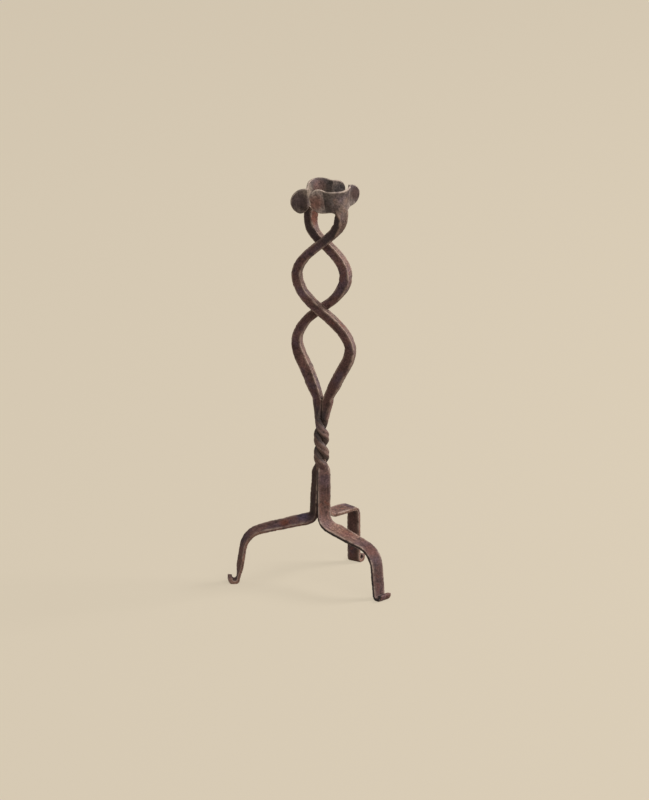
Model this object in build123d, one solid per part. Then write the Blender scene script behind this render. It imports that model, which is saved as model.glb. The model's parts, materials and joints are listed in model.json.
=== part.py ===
from build123d import *
import os
from math import cos, pi, radians, sin

# A rushlight and candle holder, hand-forged from iron bar.
# Two square bars cross twice and end in the two jaws of a cup. Below the lower loop they are twisted
# together, and three flat legs are welded round their ends and spread to curled feet.
# Millimetres, +Z up. The front of the object faces -Y, and the stem stands over x = 0, y = 0 until the
# finished pieces are moved to put the middle of their box over the origin.

# Square bar of the two arms, which is flattened a little in the shoulders of the lower loop
arm_bar = 5.8
arm_corner = 0.6
crotch_depth = 5.9
shoulder_depth = 7.2
front_neck_width = 7.0
rear_neck_width = 8.2
crossing_gap = 0.4
root_gap = 0.2
crotch_gap = 0.35

# Height of the crotch above the floor, and how far above the last each arm next changes course
crotch_height = 117.0
shoulder_rise = 21.0
lower_loop_rise = 13.5
lower_crossing_rise = 23.3
middle_loop_rise = 21.2
upper_crossing_rise = 21.0
neck_rise = 19.8
jaw_rise = 2.4

# How far each arm stands from the stem's line at the shoulder and at the widest of each loop
shoulder_reach = 13.6
lower_loop_reach = 18.4
middle_loop_reach = 14.6
lower_loop_lean = 1.4
crotch_lean = 1.1

# Sideways travel of an arm for each millimetre of height
crotch_slope = 0.45
shoulder_slope = 0.55
lower_crossing_slope = 1.42
upper_crossing_slope = 1.30

# Lengths over which an arm changes its section, its lean or its direction
crotch_length = 6.0
shoulder_length = 12.0
shoulder_end = 6.0
plane_end = 8.0
neck_length = 19.0
neck_end = 1.5
arm_faces = 40
course_step = 0.2

# Directions seen from above, in degrees from +X towards +Y, and the turn of the rear arm's bar in the
# middle loop
loop_direction = -20.0
front_neck_direction = -52.0
rear_neck_direction = 140.0
rear_bar_turn = -10.0

# Twisted stem: each strand is drawn down from the arm's bar, and again to a core between the legs
strand_depth = 4.1
strand_width = 6.2
strand_corner = 1.5
twist_top_height = 105.0
twist_bottom_height = 75.6
twist_turn = 470.0
twist_faces = 30
core_depth = 2.9
core_width = 4.8
core_corner = 0.6
core_taper = 9.0
core_end_height = 40.0

# Cup of two jaws
candle_radius = 12.0
jaw_thickness = 1.3
front_jaw_height = 13.2
rear_jaw_height = 15.0
grip_length = 8.5
bored_stock = 0.3
rim_flare = 1.9
fold_flare = 0.2
half_way_rim_flare = 0.65
half_way_fold_flare = 0.1
fold_clearance = 0.05
jaw_half_span_base = 42.0
jaw_half_span_rim = 52.0
cup_offset_x = 3.9
cup_offset_y = -1.5
front_jaw_direction = -52.0
rear_jaw_direction = 128.0

# A jaw's rim falls towards its two folds by this much
front_rim_fall = 0.0
rear_rim_fall = 2.6

# Rounded lobes folded out at the ends of each jaw. Each has its turn from its jaw's own direction, how
# far it stands out, how tall it is and how far its middle lies below the middle of the jaw's wall.
front_jaw_left_lobe = dict(turn=-119.0, length=9.4, height=15.2, drop=-1.1)
front_jaw_right_lobe = dict(turn=94.0, length=8.6, height=12.6, drop=-1.4)
rear_jaw_back_lobe = dict(turn=-110.0, length=9.0, height=14.0, drop=0.5)
rear_jaw_left_lobe = dict(turn=68.0, length=10.5, height=17.0, drop=4.1)
lobe_centre_out = 1.6

# Scarf that laps the end of each arm on the outside of its jaw: its height, how far its middle stands
# out from the wall, and its thickness and width, at its foot, half-way and at its tip
scarf_height = 9.0
scarf_mid_height = 5.0
scarf_stand = (0.6, 0.4, 0.1)
scarf_thickness = (3.6, 1.9, 0.7)
scarf_width = (8.0, 9.0, 10.0)
scarf_corner = (0.6, 0.5, 0.2)
neck_inset = 0.3

# Flat bar of the legs
leg_stem_width = 8.4
leg_thickness = 2.8
leg_tip_thickness = 2.2
leg_corner = 0.5
leg_corner_share = 0.4
leg_swing_length = 9.0
curl_radius = 2.6
curl_turn = 190.0
foot_flat = 0.35
leg_weld_top_height = 79.0
leg_weld_tip_thickness = 0.9
leg_weld_tip_width = 5.4
leg_weld_taper = 9.0

# Shares of a leg's run over which its width eases from the root's to the knee's and on to the foot's
root_width_to = 0.15
knee_width_at = 0.55
foot_width_from = 0.9

# Shares of a leg's run over which its roll eases to the foot's, and back to level for the curl
foot_roll_from = 0.54
foot_roll_to = 0.73
level_from = 0.92
level_to = 0.99

# Sections along a leg: the most that it turns from one to the next, in degrees, the longest span, and the
# steps in which the path is searched for them
section_turn = 8.0
section_span = 4.0
path_steps = 400

# Each leg: its direction from above, the radius at which its foot rests, the height where it leaves the
# stem and how far its weld splays there, the place of its knee, the radii of the two bends, its place
# round the stem, its width at the root, knee and foot, and the roll of the bar about its own length beside
# the stem, on the way out and below the knee
left_leg = dict(direction=184.5, foot_reach=53.9, root_height=40.8, splay=2.0, knee_reach=46.5,
                knee_height=32.7, root_radius=3.2, knee_radius=14.0, stem_distance=3.1,
                stem_direction=181.0, root_width=10.4, knee_width=8.8, foot_width=8.0,
                stem_roll=-25.0, leg_roll=-26.0, foot_roll=-16.0)
front_leg = dict(direction=-44.6, foot_reach=51.4, root_height=37.0, splay=0.0, knee_reach=46.2,
                 knee_height=29.4, root_radius=11.0, knee_radius=13.0, stem_distance=3.6,
                 stem_direction=-67.5, root_width=11.0, knee_width=10.0, foot_width=9.4,
                 stem_roll=4.5, leg_roll=6.0, foot_roll=2.0)
back_leg = dict(direction=59.0, foot_reach=41.6, root_height=41.4, splay=0.0, knee_reach=38.8,
                knee_height=36.9, root_radius=8.0, knee_radius=6.0, stem_distance=3.25,
                stem_direction=70.0, root_width=9.4, knee_width=9.6, foot_width=9.2,
                stem_roll=0.0, leg_roll=13.0, foot_roll=3.0)


def ease(value, start, end):
    """Smooth rise from 0 at start to 1 at end."""
    share = min(max((value - start) / (end - start), 0.0), 1.0)
    return share * share * (3 - 2 * share)


def mix(first, second, share):
    """The value that lies between two others at the given share of the way."""
    return first + (second - first) * share


def heading(angle):
    """Level unit vector at an angle from +X, in degrees."""
    return Vector(cos(radians(angle)), sin(radians(angle)), 0)


def smooth_line(stations, height):
    """Cubic through stations of (height, distance, slope)."""
    for low, high in zip(stations, stations[1:]):
        if height <= high[0]:
            break
    span = high[0] - low[0]
    share = (height - low[0]) / span
    rise = share * share * (3 - 2 * share)
    leave = share * (1 - share) ** 2 * span * low[2]
    arrive = share * share * (share - 1) * span * high[2]
    return mix(low[1], high[1], rise) + leave + arrive


def bar_face(centre, along, across, width, depth, corner):
    """Rounded rectangle across a bar; width is measured along the across direction."""
    plane = Plane(origin=centre, x_dir=across, z_dir=along)
    return plane * RectangleRounded(width, depth, corner)


# Heights where the arms change course, and where the cup begins
shoulder_height = crotch_height + shoulder_rise
lower_loop_height = shoulder_height + lower_loop_rise
lower_crossing_height = lower_loop_height + lower_crossing_rise
middle_loop_height = lower_crossing_height + middle_loop_rise
upper_crossing_height = middle_loop_height + upper_crossing_rise
neck_height = upper_crossing_height + neck_rise
jaw_base_height = neck_height + jaw_rise
neck_start_height = neck_height - neck_length

# The arms. side is 1 for the front arm and -1 for the rear arm, which mirrors it.
crotch_reach = (crotch_depth + crotch_gap) / 2
plane_offset = (arm_bar + crossing_gap) / 2
jaw_outer_radius = candle_radius + jaw_thickness
neck_radius = jaw_outer_radius - neck_inset
cup_centre = Vector(cup_offset_x, cup_offset_y, 0)

arm_stations = [
    (crotch_height, crotch_reach, crotch_slope),
    (shoulder_height, shoulder_reach, shoulder_slope),
    (lower_loop_height, lower_loop_reach, 0.0),
    (lower_crossing_height, 0.0, -lower_crossing_slope),
    (middle_loop_height, -middle_loop_reach, 0.0),
    (upper_crossing_height, 0.0, upper_crossing_slope),
    (neck_height, neck_radius, 0.0),
]


def lean_at(height):
    """Sideways lean of the stem's line, which straightens again at the lower crossing."""
    if height < crotch_height:
        return crotch_lean * ease(height, twist_top_height - crotch_length, crotch_height)
    raised = mix(crotch_lean, lower_loop_lean, ease(height, crotch_height, lower_loop_height))
    return raised * (1 - ease(height, lower_loop_height, lower_crossing_height))


def plane_direction(side, height):
    """Direction in which the arms stand apart: along the loops, then turning to face the cup."""
    neck = front_neck_direction if side > 0 else rear_neck_direction - 180
    return mix(loop_direction, neck, ease(height, neck_start_height, neck_height))


def arm_centre(side, height):
    """Centre of the arm's bar at a height."""
    turned = ease(height, neck_start_height, neck_height)
    apart = ease(height, crotch_height - crotch_length, lower_loop_height - plane_end) * (1 - turned)
    direction = plane_direction(side, height)
    outwards = side * smooth_line(arm_stations, height) + lean_at(height)
    forwards = side * plane_offset * apart
    shift = cup_centre * turned
    place = heading(direction) * outwards + heading(direction - 90) * forwards + shift
    return Vector(place.X, place.Y, height)


def arm_depth(height):
    """Size of the arm's bar in the plane of the loops."""
    shoulder = mix(crotch_depth, shoulder_depth, ease(height, crotch_height, crotch_height + shoulder_length))
    return mix(shoulder, arm_bar, ease(height, shoulder_height, lower_loop_height + shoulder_end))


def arm_face(side, height):
    """Square section of the arm, square to its course."""
    along = arm_centre(side, height + course_step) - arm_centre(side, height - course_step)
    forwards = heading(plane_direction(side, height) - 90)
    loop_share = (height - lower_crossing_height) / (upper_crossing_height - lower_crossing_height)
    if side < 0 and 0 < loop_share < 1:
        forwards = forwards.rotate(Axis((0, 0, 0), along), rear_bar_turn * sin(pi * loop_share) ** 2)
    across = forwards.cross(along)
    neck_width = front_neck_width if side > 0 else rear_neck_width
    width = mix(arm_bar, neck_width, ease(height, neck_start_height, neck_height - neck_end))
    return bar_face(arm_centre(side, height), along, across, arm_depth(height), width, arm_corner)


def level_face(side, height, part):
    """Level section of the scarf at its foot, half-way or at its tip."""
    direction = plane_direction(side, height)
    centre = cup_centre + heading(direction) * (side * (jaw_outer_radius + scarf_stand[part]))
    centre = Vector(centre.X, centre.Y, height)
    up = Vector(0, 0, 1)
    return bar_face(centre, up, heading(direction), scarf_thickness[part], scarf_width[part], scarf_corner[part])


def make_arm(side):
    """One arm from the root of the twist to the scarf behind its jaw."""
    root = crotch_height + root_gap / 2
    crotch = arm_centre(side, root)
    faces = [bar_face(crotch, Vector(0, 0, 1), heading(loop_direction), crotch_depth, arm_bar, arm_corner)]
    first = crotch_height + crotch_length / 2
    last = neck_height - neck_end
    for step in range(arm_faces + 1):
        faces.append(arm_face(side, mix(first, last, step / arm_faces)))
    for part, rise in enumerate((0.0, scarf_mid_height, scarf_height)):
        faces.append(level_face(side, jaw_base_height + rise, part))
    return loft(faces, ruled=True)


# The twisted strands
def strand_sizes(height):
    """Depth, width and corner of one strand at a height."""
    drawn = ease(height, twist_top_height, crotch_height)
    depth = mix(strand_depth, crotch_depth, drawn)
    width = mix(strand_width, arm_bar, drawn)
    corner = mix(strand_corner, arm_corner, drawn)
    core = 1 - ease(height, twist_bottom_height - core_taper, twist_bottom_height)
    return mix(depth, core_depth, core), mix(width, core_width, core), mix(corner, core_corner, core)


def twist_direction(height):
    """Direction from the rear strand to the front arm's strand: a left-handed twist going down."""
    turned = (twist_top_height - height) / (twist_top_height - twist_bottom_height)
    return loop_direction + twist_turn * min(max(turned, 0.0), 1.0)


def strand_face(side, height):
    """Level section of one strand."""
    depth, width, corner = strand_sizes(height)
    direction = heading(twist_direction(height))
    gap = crotch_gap * ease(height, crotch_height - crotch_length, crotch_height)
    lean = heading(loop_direction) * lean_at(height)
    centre = direction * (side * (depth + gap) / 2) + lean
    return bar_face(Vector(centre.X, centre.Y, height), Vector(0, 0, 1), direction, depth, width, corner)


def evenly(start, end, count):
    """Evenly spaced values from start up to, but without, end."""
    return [mix(start, end, step / count) for step in range(count)]


def make_strand(side):
    """One strand from just under the arm's root to the end of the welded core."""
    top = crotch_height - root_gap / 2
    heights = evenly(core_end_height, twist_bottom_height - core_taper, 2)
    heights += evenly(twist_bottom_height - core_taper, twist_bottom_height, 3)
    heights += evenly(twist_bottom_height, twist_top_height, twist_faces)
    heights += evenly(twist_top_height, top, 4) + [top]
    return loft([strand_face(side, height) for height in heights], ruled=True)


# The legs
def leg_path(leg):
    """Centre line of a leg as (reach, height) in its own upright plane."""
    foot_height = curl_radius + leg_tip_thickness / 2 - foot_flat
    steep = Vector(leg["foot_reach"] - curl_radius, foot_height)
    corners = [
        Vector(leg["stem_distance"], leg_weld_top_height),
        Vector(leg["stem_distance"] + leg["splay"], leg["root_height"]),
        Vector(leg["knee_reach"], leg["knee_height"]),
        steep,
    ]
    run = FilletPolyline(*corners, radius=[leg["root_radius"], leg["knee_radius"]])
    centre = Vector(leg["foot_reach"], foot_height)
    curl = CenterArc(centre, curl_radius, 180, curl_turn)
    return run, curl


def stations_along(path):
    """Shares of a path where its sections stand: closer together where it bends."""
    stations = [0.0]
    for step in range(1, path_steps):
        share = step / path_steps
        turn = (path % share).get_angle(path % stations[-1])
        if turn > section_turn or (share - stations[-1]) * path.length > section_span:
            stations.append(share)
    return stations + [1.0]


def leg_face(leg, point, tangent, run_share):
    """Section of a leg at a point of its path, with how far along its run that lies."""
    swing = ease(point.X, leg["stem_distance"] + leg["splay"], leg["stem_distance"] + leg_swing_length)
    from_tip = ease(point.Y, leg_weld_top_height, leg_weld_top_height - leg_weld_taper)
    direction = mix(leg["stem_direction"], leg["direction"], swing)
    radial = heading(direction)
    roll = mix(leg["stem_roll"], leg["leg_roll"], swing)
    roll = mix(roll, leg["foot_roll"], ease(run_share, foot_roll_from, foot_roll_to))
    roll = roll * (1 - ease(run_share, level_from, level_to))
    place = radial * point.X + Vector(0, 0, point.Y)
    along = radial * tangent.X + Vector(0, 0, tangent.Y)
    across = heading(direction + 90).rotate(Axis((0, 0, 0), along), roll)
    stem_width = mix(leg_weld_tip_width, leg_stem_width, from_tip)
    width = mix(leg["root_width"], leg["knee_width"], ease(run_share, root_width_to, knee_width_at))
    width = mix(width, leg["foot_width"], ease(run_share, knee_width_at, foot_width_from))
    width = mix(stem_width, width, swing)
    thickness = mix(leg_weld_tip_thickness, mix(leg_thickness, leg_tip_thickness, run_share), from_tip)
    corner = min(leg_corner, thickness * leg_corner_share)
    return bar_face(place, along, across, width, thickness, corner)


def make_leg(leg):
    """One flat leg from its welded tip on the stem to its curled foot."""
    run, curl = leg_path(leg)
    faces = [leg_face(leg, run @ share, run % share, share) for share in stations_along(run)]
    faces += [leg_face(leg, curl @ share, curl % share, 1.0) for share in stations_along(curl)[1:]]
    floor_size = 4 * leg["foot_reach"]
    below_floor = Pos(0, 0, -curl_radius / 2) * Box(floor_size, floor_size, curl_radius)
    return loft(faces, ruled=True) - below_floor


# The jaws
def jaw_outline(direction, half_span, height, fold_radius, belly_radius, stock=0.0):
    """Level outline of a jaw's curved wall: an arc through the two folds and the belly. Stock is what
    is left on its inside for the bore to take."""
    def at(turn, radius):
        return cup_centre + heading(direction + turn) * radius + Vector(0, 0, height)
    left_in = at(-half_span, fold_radius - stock)
    left_out = at(-half_span, fold_radius + jaw_thickness)
    right_in = at(half_span, fold_radius - stock)
    right_out = at(half_span, fold_radius + jaw_thickness)
    inside = ThreePointArc(left_in, at(0, belly_radius - stock), right_in)
    outside = ThreePointArc(right_out, at(0, belly_radius + jaw_thickness), left_out)
    return make_face([inside, Line(right_in, right_out), outside, Line(left_out, left_in)])


def make_lobe(direction, fold_turn, lobe, jaw_height, rim_fall):
    """Rounded lobe folded out along the end of a jaw's wall, with the round bend that joins them."""
    middle = candle_radius + fold_clearance + jaw_thickness / 2
    base_turn = fold_turn * jaw_half_span_base
    rim_turn = fold_turn * jaw_half_span_rim
    rim_height = jaw_base_height + jaw_height
    low = cup_centre + heading(direction + base_turn) * middle + Vector(0, 0, jaw_base_height)
    high = cup_centre + heading(direction + rim_turn) * (middle + fold_flare) + Vector(0, 0, rim_height)
    outwards = heading(direction + lobe["turn"])
    rise = (high - low).normalized()
    face_plane = Plane(origin=(low + high) * 0.5, x_dir=outwards, z_dir=outwards.cross(rise))
    low_flat = face_plane.to_local_coords(low)
    high_flat = face_plane.to_local_coords(high)
    slant = (high_flat.X - low_flat.X) / (high_flat.Y - low_flat.Y)
    reach = 2 * lobe["height"]
    keep = Polygon((slant * -reach, -reach), (reach, -reach), (reach, reach), (slant * reach, reach), align=None)
    oval = Ellipse(lobe["length"] - lobe_centre_out, lobe["height"] / 2)
    round_end = Pos(lobe_centre_out - slant * lobe["drop"], -lobe["drop"]) * oval
    plate = extrude(face_plane * (round_end & keep), jaw_thickness / 2, both=True)
    fold_length = (high - low).length * (1 - rim_fall / jaw_height)
    on_base = (Align.CENTER, Align.CENTER, Align.MIN)
    bend = Plane(origin=low, z_dir=rise) * Cylinder(jaw_thickness / 2, fold_length, align=on_base)
    return plate + bend


def make_wall(direction, jaw_height, rim_fall):
    """Curved wall of a jaw: bored to the candle's circle over the grip and flared above it."""
    grip_top = jaw_base_height + grip_length
    rim_height = jaw_base_height + jaw_height
    grip_span = mix(jaw_half_span_base, jaw_half_span_rim, grip_length / jaw_height)
    base = jaw_outline(direction, jaw_half_span_base, jaw_base_height, candle_radius, candle_radius, bored_stock)
    top = jaw_outline(direction, grip_span, grip_top, candle_radius, candle_radius, bored_stock)
    on_base = (Align.CENTER, Align.CENTER, Align.MIN)
    bore = Pos(cup_offset_x, cup_offset_y, jaw_base_height) * Cylinder(candle_radius, grip_length, align=on_base)
    grip = loft([base, top], ruled=True) - bore
    neck_of_flare = jaw_outline(direction, grip_span, grip_top, candle_radius, candle_radius)
    flare = jaw_outline(direction, mix(grip_span, jaw_half_span_rim, 0.5), mix(grip_top, rim_height, 0.5),
                        candle_radius + half_way_fold_flare, candle_radius + half_way_rim_flare)
    rim = jaw_outline(direction, jaw_half_span_rim, rim_height, candle_radius + fold_flare,
                      candle_radius + rim_flare)
    wall = grip + loft([neck_of_flare, flare, rim], ruled=True)
    if rim_fall > 0:
        half_width = candle_radius * sin(radians(jaw_half_span_rim))
        arch_radius = (half_width ** 2 + rim_fall ** 2) / (2 * rim_fall)
        arch_length = 4 * (candle_radius + rim_flare + jaw_thickness)
        arch_centre = cup_centre + Vector(0, 0, rim_height - arch_radius)
        wall = wall & (Plane(origin=arch_centre, z_dir=heading(direction)) * Cylinder(arch_radius, arch_length))
    return wall


def make_jaw(direction, jaw_height, rim_fall, left_lobe, right_lobe):
    """One jaw of the cup: a wall between two lobes."""
    left = make_lobe(direction, -1, left_lobe, jaw_height, rim_fall)
    right = make_lobe(direction, 1, right_lobe, jaw_height, rim_fall)
    return make_wall(direction, jaw_height, rim_fall) + left + right


def largest(shape):
    """The biggest solid of a cut shape, without the chips."""
    return shape.solids().sort_by(SortBy.VOLUME)[-1]


pieces = {
    "left_leg": make_leg(left_leg),
    "front_leg": make_leg(front_leg),
    "back_leg": make_leg(back_leg),
    "front_jaw": make_jaw(front_jaw_direction, front_jaw_height, front_rim_fall, front_jaw_left_lobe,
                          front_jaw_right_lobe),
    "rear_jaw": make_jaw(rear_jaw_direction, rear_jaw_height, rear_rim_fall, rear_jaw_back_lobe,
                         rear_jaw_left_lobe),
}
pieces["left_leg"] = largest(pieces["left_leg"] - pieces["front_leg"])
legs = [pieces["left_leg"], pieces["front_leg"], pieces["back_leg"]]
pieces["front_arm_strand"] = largest(make_strand(1) - legs)
pieces["rear_arm_strand"] = largest(make_strand(-1) - legs)
pieces["front_arm"] = largest(make_arm(1) - pieces["front_jaw"])
pieces["rear_arm"] = largest(make_arm(-1) - pieces["rear_jaw"])

# Put the middle of the whole holder's box over the origin, with the feet on the floor
boxes = [shape.bounding_box() for shape in pieces.values()]
middle_x = (min(box.min.X for box in boxes) + max(box.max.X for box in boxes)) / 2
middle_y = (min(box.min.Y for box in boxes) + max(box.max.Y for box in boxes)) / 2
lowest = min(box.min.Z for box in boxes)
print("moved by", -middle_x, -middle_y, -lowest)

os.makedirs("parts", exist_ok=True)
for name, shape in pieces.items():
    export_step(shape.moved(Location((-middle_x, -middle_y, -lowest))), f"parts/{name}.step")
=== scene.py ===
import json
import math

import bmesh
import bpy
from mathutils import Matrix, Vector, noise

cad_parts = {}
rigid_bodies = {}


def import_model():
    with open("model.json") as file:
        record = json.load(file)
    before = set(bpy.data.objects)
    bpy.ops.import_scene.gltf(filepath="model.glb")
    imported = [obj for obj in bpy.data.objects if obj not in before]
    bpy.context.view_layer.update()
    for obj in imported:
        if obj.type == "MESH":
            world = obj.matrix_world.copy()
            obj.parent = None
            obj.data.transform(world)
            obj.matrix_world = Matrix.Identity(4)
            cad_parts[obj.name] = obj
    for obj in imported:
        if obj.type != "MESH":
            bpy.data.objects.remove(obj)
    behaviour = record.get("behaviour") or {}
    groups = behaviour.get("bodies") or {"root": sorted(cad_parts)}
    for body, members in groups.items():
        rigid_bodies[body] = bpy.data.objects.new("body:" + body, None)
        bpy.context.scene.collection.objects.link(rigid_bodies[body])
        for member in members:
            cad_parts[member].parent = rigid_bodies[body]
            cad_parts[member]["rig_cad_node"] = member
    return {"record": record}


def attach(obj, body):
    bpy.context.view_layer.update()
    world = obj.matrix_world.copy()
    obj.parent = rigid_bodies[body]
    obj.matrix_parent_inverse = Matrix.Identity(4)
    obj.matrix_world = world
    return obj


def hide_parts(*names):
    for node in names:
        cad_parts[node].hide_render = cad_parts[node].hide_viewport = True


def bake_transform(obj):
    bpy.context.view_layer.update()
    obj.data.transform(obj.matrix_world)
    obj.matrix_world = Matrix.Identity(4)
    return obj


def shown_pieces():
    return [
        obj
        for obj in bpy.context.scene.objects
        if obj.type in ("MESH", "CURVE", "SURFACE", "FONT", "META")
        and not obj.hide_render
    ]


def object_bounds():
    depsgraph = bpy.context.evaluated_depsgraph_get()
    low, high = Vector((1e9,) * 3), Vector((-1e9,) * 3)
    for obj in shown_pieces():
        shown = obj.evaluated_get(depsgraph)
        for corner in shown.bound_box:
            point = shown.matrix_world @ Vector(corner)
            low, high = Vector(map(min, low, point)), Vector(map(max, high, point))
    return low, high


# Looks of a hand-forged rushlight holder: hammered iron bars, leaf-shaped weld tips, folded sheet jaws and
# blackened, rust-flecked iron. Metres, +Z up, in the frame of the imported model.
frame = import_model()
cad_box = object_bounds()
MM = 0.001

# The cup's axis comes from the candle mount, and the stem's line lies beside it
mounts = {mount["name"]: Vector(mount["pos_m"]) for mount in frame["record"]["mounts"]}
CUP = Vector((mounts["candle_grip"].x, mounts["candle_grip"].y, 0))
STEM = CUP - Vector((3.9, -1.5, 0)) * MM

# Square bar of the arms, flattened a little in the shoulders of the lower loop
ARM_BAR = 5.8 * MM
ARM_CORNER = 0.5 * MM
CROTCH_DEPTH = 5.9 * MM
SHOULDER_DEPTH = 7.2 * MM
NECK_WIDTH = {1: 6.7 * MM, -1: 8.2 * MM}
MIDDLE_EXTRA = {1: 0.0, -1: 0.7 * MM}
CROTCH_GAP = 0.35 * MM
CROSSING_GAP = 0.4 * MM

# Heights where the arms change course
CROTCH = 117.0 * MM
SHOULDER = CROTCH + 21.0 * MM
LOWER_LOOP = SHOULDER + 13.5 * MM
LOWER_CROSSING = LOWER_LOOP + 23.3 * MM
MIDDLE_LOOP = LOWER_CROSSING + 21.2 * MM
UPPER_CROSSING = MIDDLE_LOOP + 20.0 * MM
NECK = UPPER_CROSSING + 20.8 * MM
NECK_START = NECK - 19.0 * MM
NECK_END = NECK - 1.5 * MM

# How far each arm stands from the stem's line, and its sideways travel for each metre of height
CROTCH_REACH = (CROTCH_DEPTH + CROTCH_GAP) / 2
PLANE_OFFSET = (ARM_BAR + CROSSING_GAP) / 2
NECK_REACH = 13.0 * MM
LOWER_LOOP_LEAN = 1.4 * MM
CROTCH_LEAN = 1.1 * MM
CROTCH_LENGTH = 6.0 * MM
ARM_STATIONS = (
    (CROTCH, CROTCH_REACH, 0.45),
    (SHOULDER, 13.6 * MM, 0.55),
    (LOWER_LOOP, 18.4 * MM, 0.0),
    (LOWER_CROSSING, 0.0, -1.42),
    (MIDDLE_LOOP, -14.6 * MM, 0.0),
    (UPPER_CROSSING, 0.0, 1.30),
    (NECK, NECK_REACH, 0.0),
)

# Directions seen from above, in degrees from +X towards +Y, and the turn of the rear arm's bar in the middle loop
LOOP_DIRECTION = -20.0
NECK_DIRECTION = {1: -52.0, -1: -40.0}
REAR_BAR_TURN = -10.0

# Twisted strands and the core that the legs are welded round
STRAND_DEPTH = 4.5 * MM
STRAND_WIDTH = 6.5 * MM
STRAND_CORNER = 2.05 * MM
TWIST_TOP = 105.0 * MM
TWIST_BOTTOM = 75.6 * MM
TWIST_TURN = 470.0
CORE_DEPTH = 2.9 * MM
CORE_WIDTH = 4.8 * MM
CORE_CORNER = 0.6 * MM
CORE_END = 41.0 * MM
WAIST = 101.0 * MM
WAIST_SPAN = 3.2 * MM
WAIST_DRAW = 0.17

# Jaws of the cup
CANDLE_RADIUS = 12.0 * MM
SHEET = 1.25 * MM
JAW_BASE = NECK + 2.4 * MM
GRIP_TOP = JAW_BASE + 8.5 * MM
RIM_FLARE = 1.9 * MM
HALF_SPAN_BASE = 42.0
HALF_SPAN_RIM = 52.0
LOBE_CENTRE_OUT = 1.6 * MM
SPREAD_TOP = 250.0 * MM
SPREAD_HALF_WIDTH = 6.6 * MM

# Each jaw: its direction, its height, how far its rim falls from its peak, where along the wall that peak is, and
# its lobes, each with its turn from the jaw's direction, how far it stands out, its height, how far its middle lies
# below the wall's middle and how much shade is painted on it
JAWS = {
    "front_jaw": dict(direction=-52.0, height=13.2 * MM, fall=-0.75, peak=-0.5, neck=NECK_DIRECTION[1],
                      body="front_spring_arm", left=(-119.0, 9.4, 15.8, -0.8, 0.0), right=(94.0, 8.6, 12.6, -0.9, 0.3)),
    "rear_jaw": dict(direction=128.0, height=15.0 * MM, fall=2.8, peak=-0.22, neck=NECK_DIRECTION[-1] + 180,
                     body="rear_spring_arm", left=(-110.0, 9.0, 14.0, 0.9, 0.2), right=(68.0, 10.5, 17.0, 4.1, 0.25)),
}
# Painted shade on each jaw's wall, strongest at the fold at its turn -1 end and gone by the middle
JAW_PAINTED_SHADE = 0.6
NECK_FLARE = 2.4 * MM

# Flat bar of the legs
LEG_STEM_WIDTH = 8.4 * MM
LEG_THICKNESS = 2.8 * MM
LEG_TIP_THICKNESS = 2.2 * MM
LEG_CORNER = 0.45 * MM
CURL_RADIUS = 2.6 * MM
CURL_TURN = 190.0
CURL_SWELL = 0.9 * MM
FOOT_FLAT = 0.35 * MM
WELD_TOP = 79.0 * MM
WELD_TAPER = 10.0 * MM
WELD_TIP_WIDTH = 3.0 * MM
WELD_TIP_THICKNESS = 0.5 * MM
LEG_SWING = 9.0 * MM

# Each leg: its direction, the reach of its foot, the height where it leaves the stem and how far its weld splays
# there, the reach and height of its knee, the radii of the two bends, its place round the stem, its width at the
# root, knee and foot, its roll beside the stem, on the way out and below the knee, and the painted shade beside
# the stem. Then the painted highlight (positive) or painted shade (negative) on its broad face at those three
# places, and on its left and right sides.
LEGS = {
    "left_leg": dict(direction=184.5, foot=53.9, root=40.8, splay=2.1, knee=(46.8, 32.5), bends=(3.2, 14.0),
                     stem=(2.6, 181.0), widths=(11.3, 8.2, 8.0), rolls=(-25.0, -26.0, -16.0), painted_shade=0.55,
                     painted_lighting=(0.0, 0.1, 0.0), sides=(1.0, 0.0)),
    "front_leg": dict(direction=-44.6, foot=51.4, root=37.0, splay=0.0, knee=(46.4, 29.4), bends=(11.0, 13.0),
                      stem=(3.6, -67.5), widths=(12.4, 10.2, 9.1), rolls=(4.5, 10.0, 2.0), painted_shade=0.0,
                      painted_lighting=(0.2, 0.9, -0.3), sides=(0.2, -0.9)),
    "back_leg": dict(direction=59.0, foot=41.6, root=41.4, splay=0.0, knee=(38.8, 36.9), bends=(8.0, 6.0),
                     stem=(3.25, 70.0), widths=(9.4, 9.2, 8.8), rolls=(0.0, 13.0, 3.0), painted_shade=0.1,
                     painted_lighting=(0.0, 0.4, -0.5), sides=(-0.2, 0.8)),
}

# Mesh detail: spacing of the rings along a bar, and the points round its section
RING_SPACING = 0.5 * MM
CORNER_STEPS = 3
SIDE_STEPS = 9

# Hammer marks: how deep each kind is, and how many there are to a metre
BROAD_MARKS = (0.22 * MM, 130)
DENTS = (0.12 * MM, 430)
NOTCHES = (0.34 * MM, 520)
NICKS = (0.12 * MM, 1300)


def ease(value, start, end):
    """Smooth rise from 0 at start to 1 at end."""
    share = min(max((value - start) / (end - start), 0.0), 1.0)
    return share * share * (3 - 2 * share)


def mix(first, second, share):
    """The value that lies between two others at the given share of the way."""
    return first + (second - first) * share


def heading(angle):
    """Level unit vector at an angle from +X, in degrees."""
    return Vector((math.cos(math.radians(angle)), math.sin(math.radians(angle)), 0))


def smooth_line(stations, height):
    """Cubic through stations of (height, distance, slope)."""
    for low, high in zip(stations, stations[1:]):
        if height <= high[0]:
            break
    span = high[0] - low[0]
    share = (height - low[0]) / span
    rise = share * share * (3 - 2 * share)
    leave = share * (1 - share) ** 2 * span * low[2]
    arrive = share * share * (share - 1) * span * high[2]
    return mix(low[1], high[1], rise) + leave + arrive


# Hammered bars

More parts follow.
